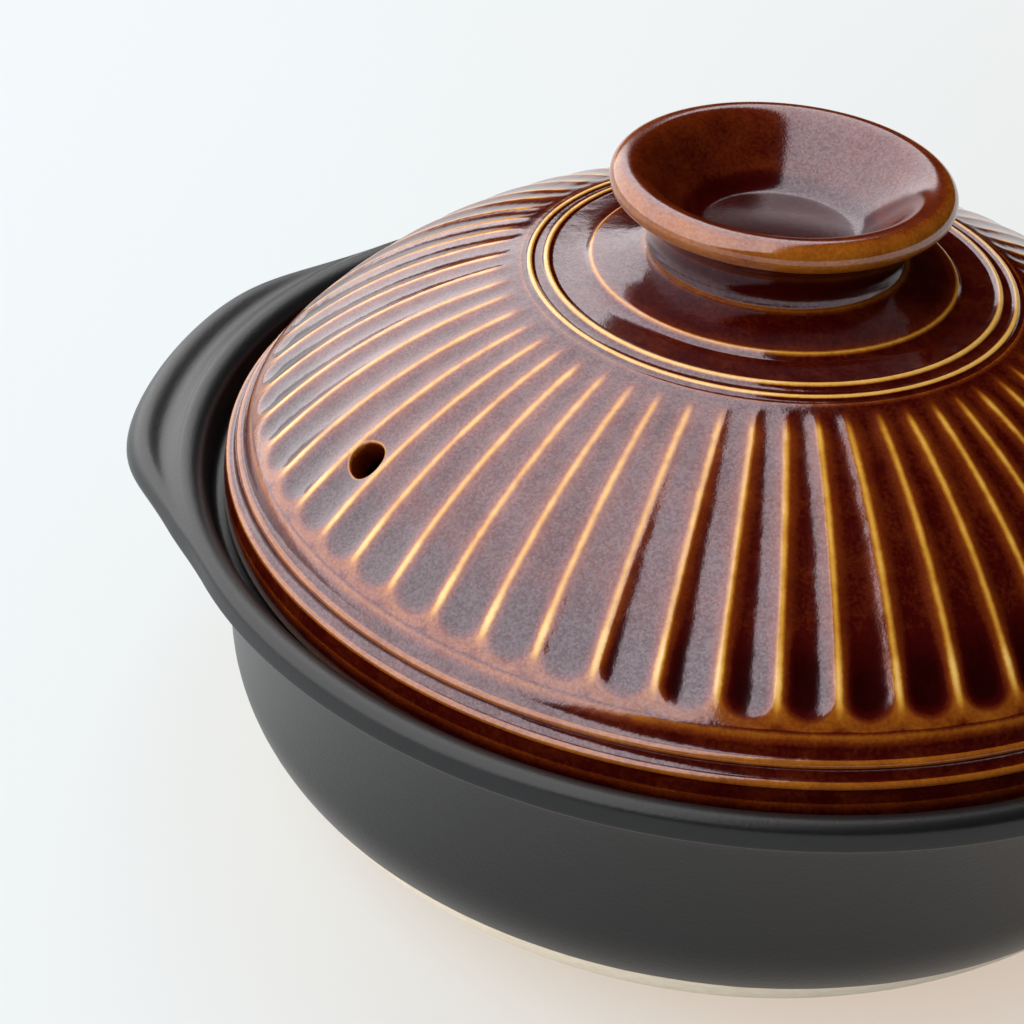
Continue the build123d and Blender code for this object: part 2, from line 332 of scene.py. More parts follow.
def makeLug(name, heading):
    wall = outerWall()[::-1]
    high, low = lug["wallMarks"]
    wallMarks = [nearest(wall, p) for p in (pot["crest"], high, pot["shoulder"], pot["lip"], low, pot["neck"],
                                            lug["wallEnd"])]
    wing = smoothCurve([pot["crest"], lug["valley"], lug["brow"], lug["edge"]], lug["topSlope"], down)
    lower = [lug["edge"], lug["under"], lug["root"], wall[wallMarks[-1]]]
    wing += smoothCurve(lower, down, lug["endSlope"])[1:]
    wingMarks = [nearest(wing, p) for p in (pot["crest"], lug["valley"], lug["brow"], lug["edge"],
                                            lug["under"], lug["root"])] + [len(wing) - 1]
    count = lug["rowsPerSpan"]
    plain = spaced(wall, wallMarks, count)
    full = spaced(wing, wingMarks, count)
    rows = len(plain)
    angles = np.linspace(-lug["halfAngle"], lug["halfAngle"], lug["columns"])
    points, bulges = [], []
    for angle in angles:
        away = abs(angle)
        fadeShare = min(max((away - lug["fadeStart"]) / (lug["halfAngle"] - lug["fadeStart"]), 0), 1)
        weight = 1 - fadeShare * fadeShare * (3 - 2 * fadeShare)
        weight /= 1 + (away / lug["fade"]) ** lug["fadePower"]
        section = smoothed(plain * (1 - weight) + full * weight, lug["smoothing"])
        runs = np.gradient(section, axis=0)
        normals = np.stack([runs[:, 1], -runs[:, 0]], axis=1) / np.hypot(*runs.T)[:, None]
        border = min(1, weight * lug["sinkBorder"])
        ends = np.minimum(np.arange(rows), np.arange(rows)[::-1]) / lug["sinkRows"]
        sink = lug["sink"] * (2 * np.minimum(border, np.minimum(ends, 1)) - 1)
        section = section - normals * sink[:, None]
        turn = math.radians(angle + lug["turned"]) + heading
        points.append([(r * math.cos(turn), r * math.sin(turn), z) for r, z in section])
        headings = np.unwrap(np.arctan2(runs[:, 1], runs[:, 0]))
        bulges.append(-np.gradient(headings) / np.hypot(*runs.T))
    skin = np.array(points)
    inner = []
    runs = np.gradient(plain, axis=0)
    normals = np.stack([runs[:, 1], -runs[:, 0]], axis=1) / np.hypot(*runs.T)[:, None]
    section = plain + normals * lug["inset"]
    for angle in angles:
        turn = math.radians(angle + lug["turned"]) + heading
        inner.append([(r * math.cos(turn), r * math.sin(turn), z) for r, z in section])
    inner = np.array(inner)
    columns = len(angles)
    allPoints = np.concatenate([skin.reshape(-1, 3), inner.reshape(-1, 3)])
    offset = columns * rows
    faces = []
    for j in range(columns - 1):
        for i in range(rows - 1):
            a, b, c, d = j * rows + i, j * rows + i + 1, (j + 1) * rows + i + 1, (j + 1) * rows + i
            faces.append((a, b, c, d))
            faces.append((offset + d, offset + c, offset + b, offset + a))
    rim = [j * rows for j in range(columns)] + [(columns - 1) * rows + i for i in range(1, rows)]
    rim += [j * rows + rows - 1 for j in range(columns - 2, -1, -1)] + [i for i in range(rows - 2, 0, -1)]
    for a, b in zip(rim, rim[1:] + rim[:1]):
        faces.append((a, b, offset + b, offset + a))
    mesh = bpy.data.meshes.new(name)
    mesh.from_pydata((allPoints * mm).tolist(), [], faces)
    values = np.concatenate([np.array(bulges).reshape(-1), np.zeros(offset)])
    mesh.attributes.new("bulge", "FLOAT", "POINT").data.foreach_set("value", values.astype(np.float32))
    shell = bmesh.new()
    shell.from_mesh(mesh)
    bmesh.ops.recalc_face_normals(shell, faces=shell.faces)
    for edge in shell.edges:
        edge.smooth = edge.calc_face_angle(0) < math.radians(lug["sharpest"])
    shell.to_mesh(mesh)
    shell.free()
    mesh.shade_smooth()
    piece = bpy.data.objects.new(name, mesh)
    bpy.context.scene.collection.objects.link(piece)
    return piece


lugRight = makeLug("lug_right", 0.0)
lugLeft = makeLug("lug_left", math.pi)
print("lugs made")


# Lid: dome with a stepped disc, two collars, two rings near its edge and 58 hand-cut flutes

lid = {
    "domeTurn": 120.6,
    "domeCentre": (17.6, 8.6),
    "thickness": 6.5,
    "seat": (27.6, 130.3),
    "seatSlope": -30.0,
    "disc": (38.6, 127.1),
    "discLip": 0.7,
    "discStep": 1.5,
    "collar": (47.4, 125.6),
    "collarPitch": 3.5,
    "collarRounding": 0.8,
    "collarLean": 14.0,
    "skirtRadius": 108.6,
    "ring": (113.7, 80.75),
    "ringPitch": 3.85,
    "ringRounding": 0.9,
    "ringLean": 54.0,
    "edgeDrop": 4.2,
    "edgeRadius": 114.3,
    "edgeRounding": 1.5,
    "rest": 71.3,
    "restWidth": 7.0,
    "coat": 0.3,
    "rows": 118,
    "topRows": (52.6, 58.0, 0.9),
    "endRows": (101.8, 108.0, 0.55),
    "slack": 0.02,
    "flutes": 58,
    "fluteTop": 56.6,
    "fluteEnd": 103.4,
    "ridgeWidth": 0.9,
    "cutterTurn": 13.76,
    "firstRidge": -111.104,
    "stray": 0.45,
    "rounding": 0.5,
    "seed": 11,
    "columnShares": (-0.5, -0.46, -0.42, -0.36, -0.27, -0.14, 0.0, 0.14, 0.27, 0.36, 0.42, 0.46),
}


def domeAt(radius, depth=0.0):
    turn = lid["domeTurn"] - depth
    side = (radius - lid["domeCentre"][0]) / lid["domeTurn"]
    return lid["domeCentre"][0] + turn * side, lid["domeCentre"][1] + turn * math.sqrt(1 - side * side)


# Half-round ring that leans with the surface it stands on, from its inner foot to its outer foot
def bead(crest, rounding, lean):
    tilt = math.radians(lean)
    centre = (crest[0] - rounding * math.sin(tilt), crest[1] - rounding * math.cos(tilt))
    return sweep(centre, rounding, inward - lean, outward - lean)


def lidProfile():
    restInner = lid["edgeRadius"] - lid["restWidth"]
    underTurn = lid["domeTurn"] - lid["thickness"]
    centre = lid["domeCentre"]
    lean = math.radians(lid["ringLean"])
    lowCrest = lid["ring"]
    pitch = lid["ringPitch"]
    highCrest = (lowCrest[0] - pitch * math.cos(lean), lowCrest[1] + pitch * math.sin(lean))
    outer = lid["collar"][0] + lid["collarPitch"]
    outerCrest = (outer, domeAt(outer)[1] + lid["collarRounding"] / 2)
    discTop = (lid["disc"][0] - lid["discLip"], lid["disc"][1])
    discEdge = (lid["disc"][0], lid["disc"][1] - lid["discLip"])
    domeStart = outer + 2 * lid["collarRounding"]
    startLean = math.degrees(math.asin((domeStart - centre[0]) / lid["domeTurn"]))
    endLean = math.degrees(math.asin((lid["skirtRadius"] - centre[0]) / lid["domeTurn"]))
    top = [
        (0, lid["seat"][1]), *bends(lid["seatSlope"], lid["seat"], discTop, discEdge),
        (lid["disc"][0] + lid["discLip"], lid["disc"][1] - lid["discStep"]),
        *bead(lid["collar"], lid["collarRounding"], lid["collarLean"]),
        *bead(outerCrest, lid["collarRounding"], lid["collarLean"]),
        *sweep(centre, lid["domeTurn"], up - startLean, up - endLean),
        *bead(highCrest, lid["ringRounding"], lid["ringLean"]),
        *bead(lowCrest, lid["ringRounding"], lid["ringLean"]),
        (lid["edgeRadius"], lowCrest[1] - lid["edgeDrop"]),
        *bends(down, (lid["edgeRadius"], lid["rest"] + lid["edgeRounding"]),
               (lid["edgeRadius"] - lid["edgeRounding"], lid["rest"])),
        (restInner, lid["rest"]),
    ]
    underLean = math.degrees(math.asin((restInner - centre[0]) / underTurn))
    under = sweep(centre, underTurn, up - underLean, up)
    return (top + under + [(0, centre[1] + underTurn)])[::-1]


# Rows close together at both ends of the flutes, where their noses are cut
def lidRows(fine):
    rows = rowsOf(fine, lid["rows"], longest=2.4, sharpest=16.0)
    centre, turn = lid["domeCentre"], lid["domeTurn"]
    onDome = np.abs(np.hypot(fine[:, 0] - centre[0], fine[:, 1] - centre[1]) - turn) < lid["slack"]
    extra = []
    for radius in (*np.arange(*lid["topRows"]), *np.arange(*lid["endRows"])):
        extra.append(np.argmin(np.where(onDome, np.abs(fine[:, 0] - radius), np.inf)))
    return np.unique(np.concatenate([rows, extra]).round(1)), onDome


lidFine = glazed(lidProfile(), lid["coat"])
pickedRows, onDome = lidRows(lidFine)
lidPitch = math.tau / lid["flutes"]
lidAngles = np.concatenate([[(k + 0.5 + share) * lidPitch for share in lid["columnShares"]]
                            for k in range(lid["flutes"])]) + math.radians(lid["firstRidge"])
lidPiece = turnOnWheel("lid_dome", lidFine, pickedRows, lidAngles)
domeFlags = np.interp(pickedRows, np.arange(len(lidFine)), onDome.astype(float)) > 0.5
flags = np.concatenate([np.repeat(domeFlags[1:-1], len(lidAngles)), [False, False]])
lidPiece.data.attributes.new("onDome", "FLOAT", "POINT").data.foreach_set("value", flags.astype(np.float32))
print("lid turned,", len(pickedRows), "rows")


# The flutes: each point of the dome is moved in along the normal by the depth of the round cutter there
def fluteTree():
    tree = bpy.data.node_groups.new("flutes", "GeometryNodeTree")
    sockets = tree.interface
    sockets.new_socket("Geometry", in_out="INPUT", socket_type="NodeSocketGeometry")
    for name in ("Count", "First ridge", "Dome turn", "Dome centre", "Flute top", "Flute end", "Ridge width",
                 "Cutter turn", "Stray", "Rounding"):
        sockets.new_socket(name, in_out="INPUT", socket_type="NodeSocketFloat")
    sockets.new_socket("Seed", in_out="INPUT", socket_type="NodeSocketInt")
    sockets.new_socket("Glaze", in_out="INPUT", socket_type="NodeSocketMaterial")
    sockets.new_socket("Geometry", in_out="OUTPUT", socket_type="NodeSocketGeometry")
    given = tree.nodes.new("NodeGroupInput").outputs

    def sums(operation, *values):
        return calc(tree, operation, *values)

    position = tree.nodes.new("GeometryNodeInputPosition").outputs[0]
    x, y, z = addNode(tree, "ShaderNodeSeparateXYZ", {0: position}).outputs
    radius = sums("SQRT", sums("ADD", sums("MULTIPLY", x, x), sums("MULTIPLY", y, y)))
    angle = sums("SUBTRACT", sums("ARCTAN2", y, x), given["First ridge"])
    turns = sums("MULTIPLY", sums("DIVIDE", angle, math.tau), given["Count"])
    nudge = 0.001            # keeps a vertex that lies on a ridge from falling to the flute before it
    number = sums("FLOORED_MODULO", sums("ADD", turns, nudge), given["Count"])
    ridge = sums("FLOOR", number)
    share = sums("SUBTRACT", number, sums("ADD", ridge, nudge))
    nextRidge = sums("FLOORED_MODULO", sums("ADD", ridge, 1.0), given["Count"])

    topDraw, endDraw = 0, 7      # added to the seed, so that a ridge strays on its own at either end

    def strayOf(ridgeNumber, shift):
        seed = sums("ADD", given["Seed"], shift)
        value = addNode(tree, "FunctionNodeRandomValue", {"Seed": seed}, data_type="FLOAT")
        value.inputs[2].default_value = -1.0
        value.inputs[3].default_value = 1.0
        tree.links.new(sums("ROUND", ridgeNumber), value.inputs["ID"])
        return value.outputs[1]

    span = sums("SUBTRACT", given["Flute end"], given["Flute top"])
    along = calc(tree, "DIVIDE", sums("SUBTRACT", radius, given["Flute top"]), span, clamp=True)
    lower = sums("ADD", sums("MULTIPLY", strayOf(ridge, topDraw), sums("SUBTRACT", 1.0, along)),
                 sums("MULTIPLY", strayOf(ridge, endDraw), along))
    upper = sums("ADD", sums("MULTIPLY", strayOf(nextRidge, topDraw), sums("SUBTRACT", 1.0, along)),
                 sums("MULTIPLY", strayOf(nextRidge, endDraw), along))
    drift = sums("ADD", sums("MULTIPLY", lower, sums("SUBTRACT", 1.0, share)), sums("MULTIPLY", upper, share))
    flag = addNode(tree, "GeometryNodeInputNamedAttribute", {"Name": "onDome"}, data_type="FLOAT")
    onDome = flag.outputs[0]
    swing = sums("MULTIPLY", sums("DIVIDE", sums("MULTIPLY", drift, given["Stray"]), radius), onDome)
    newAngle = sums("ADD", sums("ARCTAN2", y, x), swing)

    pitch = sums("DIVIDE", math.tau, given["Count"])
    lateral = sums("MULTIPLY", sums("MULTIPLY", sums("SUBTRACT", share, 0.5), pitch), radius)
    clamped = sums("MINIMUM", sums("MAXIMUM", radius, given["Flute top"]), given["Flute end"])
    width = sums("SUBTRACT", sums("MULTIPLY", pitch, clamped), given["Ridge width"])
    squareTurn = sums("MULTIPLY", given["Cutter turn"], given["Cutter turn"])
    height = sums("SQRT", sums("SUBTRACT", squareTurn, sums("DIVIDE", sums("MULTIPLY", width, width), 4.0)))
    lean = sums("DIVIDE", sums("SUBTRACT", radius, given["Dome centre"]), given["Dome turn"])
    rise = sums("SQRT", sums("MAXIMUM", sums("SUBTRACT", 1.0, sums("MULTIPLY", lean, lean)), 0.01))
    past = sums("DIVIDE", sums("ABSOLUTE", sums("SUBTRACT", radius, clamped)), rise)
    squareAcross = sums("ADD", sums("MULTIPLY", lateral, lateral), sums("MULTIPLY", past, past))
    inside = sums("SUBTRACT", squareTurn, squareAcross)
    reach = sums("SUBTRACT", sums("SQRT", sums("MAXIMUM", inside, 0.0)), height)
    # The smooth maximum lifts the outline by a sixth of its rounding, which is taken off again
    depth = sums("SMOOTH_MAX", reach, 0.0, given["Rounding"])
    depth = sums("MULTIPLY", sums("SUBTRACT", depth, sums("DIVIDE", given["Rounding"], 6.0)), onDome)
    depth = sums("MAXIMUM", depth, 0.0)
    newRadius = sums("SUBTRACT", radius, sums("MULTIPLY", depth, lean))
    newPlace = addNode(tree, "ShaderNodeCombineXYZ", {
        0: sums("MULTIPLY", newRadius, sums("COSINE", newAngle)),
        1: sums("MULTIPLY", newRadius, sums("SINE", newAngle)),
        2: sums("SUBTRACT", z, sums("MULTIPLY", depth, rise)),
    }).outputs[0]

    # Kept for the glaze, in mm: how far a point is in from its flute's outline and how far from a ridge
    fromEdge = sums("SUBTRACT", sums("DIVIDE", width, 2.0), sums("SQRT", squareAcross))
    farOff = 9.0 * mm
    offDome = sums("MULTIPLY", sums("SUBTRACT", 1.0, onDome), farOff)
    stored = addNode(tree, "GeometryNodeStoreNamedAttribute", {
        "Geometry": given["Geometry"], "Name": "fromEdge",
        "Value": sums("DIVIDE", sums("SUBTRACT", fromEdge, offDome), mm),
    }, data_type="FLOAT", domain="POINT")
    halfPitch = sums("DIVIDE", sums("MULTIPLY", pitch, radius), 2.0)
    fromRidge = sums("SUBTRACT", halfPitch, sums("ABSOLUTE", lateral))
    stored = addNode(tree, "GeometryNodeStoreNamedAttribute", {
        "Geometry": stored.outputs[0], "Name": "fromRidge",
        "Value": sums("DIVIDE", sums("ADD", fromRidge, offDome), mm),
    }, data_type="FLOAT", domain="POINT")
    moved = addNode(tree, "GeometryNodeSetPosition", {"Geometry": stored.outputs[0], "Position": newPlace})
    real = addNode(tree, "GeometryNodeRealizeInstances", {0: moved.outputs[0]})
    coated = addNode(tree, "GeometryNodeSetMaterial", {
        "Geometry": real.outputs[0], "Material": given["Glaze"],
    })
    end = tree.nodes.new("NodeGroupOutput")
    tree.links.new(coated.outputs[0], end.inputs[0])
    return tree


# Sets a modifier's inputs by socket name and keeps its evaluated mesh
def runTree(piece, tree, values):
    modifier = piece.modifiers.new(tree.name, "NODES")
    modifier.node_group = tree
    for item in tree.interface.items_tree:
        if item.in_out == "INPUT" and item.name in values:
            modifier[item.identifier] = values[item.name]
    bpy.context.view_layer.update()
    graph = bpy.context.evaluated_depsgraph_get()
    evaluated = piece.evaluated_get(graph)
    mesh = bpy.data.meshes.new_from_object(evaluated, preserve_all_data_layers=True, depsgraph=graph)
    piece.modifiers.remove(modifier)
    piece.data = mesh
    mesh.name = piece.name
    return piece


# Materials

def newMaterial(name):
    material = bpy.data.materials.new(name)
    material.use_nodes = True
    tree = material.node_tree
    tree.nodes.clear()
    return material, tree


def ramp(tree, factor, stops):
    node = addNode(tree, "ShaderNodeValToRGB", {0: factor})
    elements = node.color_ramp.elements
    while len(elements) < len(stops):
        elements.new(0.5)
    for element, (place, colour) in zip(elements, stops):
        element.position = place
        element.color = linear(colour)
    return node.outputs[0]


# Noise between 0 and 1 whose patches are about the given size across, in mm
def noise(tree, place, size, detail, roughness):
    return addNode(tree, "ShaderNodeTexNoise", {
        "Vector": place, "Scale": 1.0 / (size * mm), "Detail": detail, "Roughness": roughness,
    }).outputs[0]


# How far a value has gone from one limit to another, from 0 to 1, eased
def between(tree, value, low, high):
    return addNode(tree, "ShaderNodeMapRange", {"Value": value, "From Min": low, "From Max": high},
                   interpolation_type="SMOOTHSTEP").outputs[0]


def attribute(tree, name):
    return addNode(tree, "ShaderNodeAttribute", attribute_name=name).outputs["Fac"]


def objectPlace(tree):
    place = tree.nodes.new("ShaderNodeTexCoord").outputs["Object"]
    return addNode(tree, "ShaderNodeMapping", {0: place}).outputs[0]


def mixed(tree, factor, first, second):
    node = addNode(tree, "ShaderNodeMix", {0: factor}, data_type="RGBA")
    for socket, value in ((node.inputs[6], first), (node.inputs[7], second)):
        if isinstance(value, bpy.types.NodeSocket):
            tree.links.new(value, socket)
        else:
            socket.default_value = value
    return node.outputs[2]


# Amber ash glaze fired over stoneware: the coat is glossy, dark red-brown where it pools, amber where it runs
# thin and gold on the sharp ridges. Radii and heights are in mm; amounts go from 0, thick, to 1, thin.
amber = {
    "colours": [(0.0, "#1c0101"), (0.2, "#310402"), (0.38, "#5a2106"), (0.55, "#854c10"),
                (0.75, "#b4822f"), (1.0, "#d2a964")],
    "thickness": 0.22,
    "knobThickness": 0.27,
    "thinOnBulge": 0.5,
    "knobBulge": 0.25,
    "mottle": (7.0, 0.24),            # size of the patches and how much they change the coat
    "fleck": (0.8, 0.22),
    "wander": 0.8,                    # how far the flecks move the edges of the colours
    "ridge": (-0.1, 1.6),
    "ridgeThin": 0.7,
    "streak": (3.0, 0.5, 0.55),
    "beside": (0.3, 3.4),
    "besideThin": 0.2,
    "ridgeStart": (53.5, 60.0),
    "ridgeEnd": (102.5, 107.5),
    "skirtStart": (97.0, 101.0),
    "skirtWidth": (-5.0, -2.0),
    "skirtThin": 0.23,
    "fluteEdge": (-0.6, 1.1),
    "poolStart": (93.0, 101.0),
    "poolEdge": (0.6, 3.0),
    "poolThick": 0.22,
    "rings": (105.5, 107.0),
    "ringBulge": (-0.1, 0.4),
    "ringThin": (0.37, 0.14),
    "lip": ((138.0, 141.5), (31.0, 35.0)),
    "lipThin": 0.2,
    # the knob's colour goes darker below these heights, over the neck under its lip
    "neck": (136.0, 139.0),
    "neckDarkening": 0.16,
    "grain": (0.5, 0.03, 0.5),        # size, height and strength of the bump
    "wave": (6.0, 0.3, 0.06, 0.4),    # size, height on the dome and on the knob, strength
    "crystal": (0.42, 0.22),          # size of the crystals afloat in the coat and how much they shine
    "cloud": (16.0, 0.3, 0.22),
    "roughness": 0.12,
    "refraction": 1.8,                # an iron-rich glaze with crystals at its surface
    "tint": (1.0, 0.88, 0.97, 1.0),
}


def amberGlaze(name, fluted):
    material, tree = newMaterial(name)

    def sums(operation, *values, clamp=False):
        return calc(tree, operation, *values, clamp=clamp)

    def rest(value):
        return sums("SUBTRACT", 1.0, value)

    def within(value, limits, unit=1.0):
        return between(tree, value, limits[0] * unit, limits[1] * unit)

    place = objectPlace(tree)
    bulge = attribute(tree, "bulge")
    spot = addNode(tree, "ShaderNodeSeparateXYZ", {0: place}).outputs
    radius = sums("SQRT", sums("ADD", sums("MULTIPLY", spot[0], spot[0]), sums("MULTIPLY", spot[1], spot[1])))
    mottled = sums("SUBTRACT", noise(tree, place, amber["mottle"][0], detail=5.0, roughness=0.6), 0.5)
    fleck = sums("SUBTRACT", noise(tree, place, amber["fleck"][0], detail=3.0, roughness=0.6), 0.5)
    wander = sums("MULTIPLY", fleck, amber["wander"])
    if fluted:
        amount = sums("MULTIPLY", bulge, amber["thinOnBulge"], clamp=True)
        amount = sums("ADD", amount, amber["thickness"])
        ringThin, ringLeast = amber["ringThin"]
        ringAmount = sums("ADD", sums("MULTIPLY", within(bulge, amber["ringBulge"]), ringThin), ringLeast)
        ringed = within(radius, amber["rings"], mm)
        amount = sums("ADD", sums("MULTIPLY", amount, rest(ringed)), sums("MULTIPLY", ringAmount, ringed))
        fromEdge = attribute(tree, "fromEdge")
        fromRidge = sums("ADD", attribute(tree, "fromRidge"), wander)
        reach = sums("MULTIPLY", within(radius, amber["ridgeStart"], mm),
                     rest(within(radius, amber["ridgeEnd"], mm)))
        streakSize, streakMost, streakLeast = amber["streak"]
        streak = sums("MULTIPLY", noise(tree, place, streakSize, detail=2.0, roughness=0.5), streakMost)
        streak = sums("ADD", streak, streakLeast)
        ridge = sums("MULTIPLY", sums("MULTIPLY", rest(within(fromRidge, amber["ridge"])), reach),
                     sums("MULTIPLY", streak, amber["ridgeThin"]))
        beside = sums("MULTIPLY", rest(within(fromRidge, amber["beside"])),
                      sums("MULTIPLY", reach, amber["besideThin"]))
        skirt = sums("MULTIPLY", within(radius, amber["skirtStart"], mm),
                     within(fromEdge, amber["skirtWidth"]))
        outside = rest(within(sums("ADD", fromEdge, wander), amber["fluteEdge"]))
        pool = sums("MULTIPLY", within(radius, amber["poolStart"], mm), within(fromEdge, amber["poolEdge"]))
        amount = sums("MAXIMUM", amount, sums("ADD", sums("MAXIMUM", ridge, beside), amber["thickness"]))
        amount = sums("ADD", amount, sums("MULTIPLY", sums("MULTIPLY", skirt, outside), amber["skirtThin"]))
        amount = sums("SUBTRACT", amount, sums("MULTIPLY", pool, amber["poolThick"]))
    else:
        bulge = sums("MULTIPLY", bulge, amber["knobBulge"])
        amount = sums("MULTIPLY", bulge, amber["thinOnBulge"], clamp=True)
        amount = sums("ADD", amount, amber["knobThickness"])
        lipHeights, lipRadii = amber["lip"]
        lip = sums("MULTIPLY", within(spot[2], lipHeights, mm), within(radius, lipRadii, mm))
        amount = sums("ADD", amount, sums("MULTIPLY", lip, amber["lipThin"]))
        # Darker lower down the knob, over the neck under its lip
        neck = rest(within(spot[2], amber["neck"], mm))
        amount = sums("SUBTRACT", amount, sums("MULTIPLY", neck, amber["neckDarkening"]))
    amount = sums("ADD", amount, sums("MULTIPLY", mottled, amber["mottle"][1]))
    amount = sums("ADD", amount, sums("MULTIPLY", fleck, amber["fleck"][1]), clamp=True)
    colour = ramp(tree, amount, amber["colours"])
    grainSize, grainHeight, grainStrength = amber["grain"]
    waveSize, domeWave, knobWave, waveStrength = amber["wave"]
    bump = addNode(tree, "ShaderNodeBump", {
        "Strength": grainStrength, "Distance": grainHeight * mm,
        "Height": noise(tree, place, grainSize, detail=2.0, roughness=0.5),
    })
    bump = addNode(tree, "ShaderNodeBump", {
        "Strength": waveStrength, "Distance": (domeWave if fluted else knobWave) * mm,
        "Height": noise(tree, place, waveSize, detail=2.0, roughness=0.5), "Normal": bump.outputs[0],
    })
    crystalSize, crystalShine = amber["crystal"]
    cells = addNode(tree, "ShaderNodeTexVoronoi", {"Vector": place, "Scale": 1.0 / (crystalSize * mm)})
    crystal = addNode(tree, "ShaderNodeSeparateColor", {0: cells.outputs["Color"]}).outputs[0]
    cloudSize, cloudShine, leastShine = amber["cloud"]
    cloud = sums("MULTIPLY", noise(tree, place, cloudSize, detail=3.0, roughness=0.6), cloudShine)
    shine = sums("ADD", sums("MULTIPLY", crystal, crystalShine), sums("ADD", cloud, leastShine))
    shader = addNode(tree, "ShaderNodeBsdfPrincipled", {
        "Base Color": colour, "Roughness": amber["roughness"], "IOR": amber["refraction"],
        "Normal": bump.outputs[0], "Specular IOR Level": shine, "Specular Tint": amber["tint"],
    })
    end = tree.nodes.new("ShaderNodeOutputMaterial")
    tree.links.new(shader.outputs[0], end.inputs[0])
    return material


# Semi-matte black glaze over cream stoneware, wiped off below the hip. The whole inside is glazed too.
black = {
    "glazeLine": 25.8,
    "lineWander": (24.0, 1.0),
    "lineWidth": 0.35,
    "colours": [(0.0, "#0f0f10"), (0.5, "#161617"), (1.0, "#3c2f27")],
    "clayColours": [(0.3, "#e6d8c0"), (0.7, "#f3e8d4")],
    "mottle": (6.0, 0.5),
    "thinOnBulge": 0.5,
    "claySize": 3.0,
    "grain": (0.8, 0.12, 0.5),
    "footHeight": (7.0, 8.0),         # nothing lower is inside the pot
    "wallRadius": 100.0,
    "turnover": (-0.1, 0.1),
    "roughness": (0.85, 0.36),        # bare clay and glaze
    "refraction": 1.45,
}


def blackGlaze():
    material, tree = newMaterial("stoneware_black_glaze_over_cream_clay")

    def sums(operation, *values, clamp=False):
        return calc(tree, operation, *values, clamp=clamp)

    place = objectPlace(tree)
    bulge = attribute(tree, "bulge")
    spot = addNode(tree, "ShaderNodeSeparateXYZ", {0: place}).outputs
    height = spot[2]
    wanderSize, wanderHeight = black["lineWander"]
    wander = sums("SUBTRACT", noise(tree, place, wanderSize, detail=3.0, roughness=0.5), 0.5)
    lineHeight = sums("ADD", black["glazeLine"] * mm, sums("MULTIPLY", wander, wanderHeight * mm))
    above = sums("DIVIDE", sums("SUBTRACT", height, lineHeight), black["lineWidth"] * mm, clamp=True)
    # The skin of the inside faces up or in, and the bare clay outside faces down and out
    normal = tree.nodes.new("ShaderNodeTexCoord").outputs["Normal"]
    facing = addNode(tree, "ShaderNodeSeparateXYZ", {0: normal}).outputs
    outwards = sums("ADD", sums("MULTIPLY", spot[0], facing[0]), sums("MULTIPLY", spot[1], facing[1]))
    inwards = sums("SUBTRACT", facing[2], sums("DIVIDE", outwards, black["wallRadius"] * mm))
    footLow, footHigh = black["footHeight"]
    inside = sums("MULTIPLY", between(tree, inwards, *black["turnover"]),
                  between(tree, height, footLow * mm, footHigh * mm))
    above = sums("MAXIMUM", above, inside)
    mottleSize, mottleShare = black["mottle"]
    mottled = sums("SUBTRACT", noise(tree, place, mottleSize, detail=6.0, roughness=0.65), 0.5)
    mottled = sums("MULTIPLY", mottled, mottleShare)
    amount = sums("ADD", sums("MULTIPLY", bulge, black["thinOnBulge"], clamp=True), mottled, clamp=True)
    glaze = ramp(tree, amount, black["colours"])
    clay = ramp(tree, noise(tree, place, black["claySize"], detail=5.0, roughness=0.7), black["clayColours"])
    colour = mixed(tree, above, clay, glaze)
    grainSize, grainHeight, grainStrength = black["grain"]
    step = addNode(tree, "ShaderNodeBump", {
        "Strength": 1.0, "Distance": black["lineWidth"] * mm, "Height": above,
    })
    bump = addNode(tree, "ShaderNodeBump", {
        "Strength": grainStrength, "Distance": grainHeight * mm,
        "Height": noise(tree, place, grainSize, detail=3.0, roughness=0.6), "Normal": step.outputs[0],
    })
    clayRough, glazeRough = black["roughness"]
    rough = addNode(tree, "ShaderNodeMix", {0: above, 2: clayRough, 3: glazeRough}).outputs[0]
    shader = addNode(tree, "ShaderNodeBsdfPrincipled", {
        "Base Color": colour, "Roughness": rough, "IOR": black["refraction"], "Normal": bump.outputs[0],
    })
    end = tree.nodes.new("ShaderNodeOutputMaterial")
    tree.links.new(shader.outputs[0], end.inputs[0])
    return material


lidGlaze = amberGlaze("stoneware_amber_glaze_pooled_in_flutes", True)
knobGlaze = amberGlaze("stoneware_amber_glaze_plain", False)
potGlaze = blackGlaze()
for piece in (potPiece, lugRight, lugLeft):
    piece.data.materials.append(potGlaze)

runTree(lidPiece, fluteTree(), {
    "Count": float(lid["flutes"]),
    "First ridge": math.radians(lid["firstRidge"]),
    "Dome turn": lid["domeTurn"] * mm,
    "Dome centre": lid["domeCentre"][0] * mm,
    "Flute top": lid["fluteTop"] * mm,
    "Flute end": lid["fluteEnd"] * mm,
    "Ridge width": lid["ridgeWidth"] * mm,
    "Cutter turn": lid["cutterTurn"] * mm,
    "Stray": lid["stray"] * mm,
    "Rounding": lid["rounding"] * mm,
    "Seed": lid["seed"],
    "Glaze": lidGlaze,
})
lidPiece.data.shade_smooth()
print("flutes cut,", len(lidPiece.data.polygons), "faces")


# Steam hole, drilled square to the dome in the middle of one flute, its lips rounded by the glaze

steamHole = {
    "angle": 221.0,
    "radius": 93.6,
    "width": 7.9,
    "clear": 5.0,
    "lip": ((0.95, 0.0), (0.65, 0.02), (0.45, 0.07), (0.28, 0.17), (0.14, 0.34), (0.05, 0.6), (0.0, 1.0)),
    "segments": 72,
    "reach": 12.0,
    "rayStart": 20.0,
    "lipBulge": (0.9, 0.35, 0.3),     # how strong, how far out from the bore, how wide
}


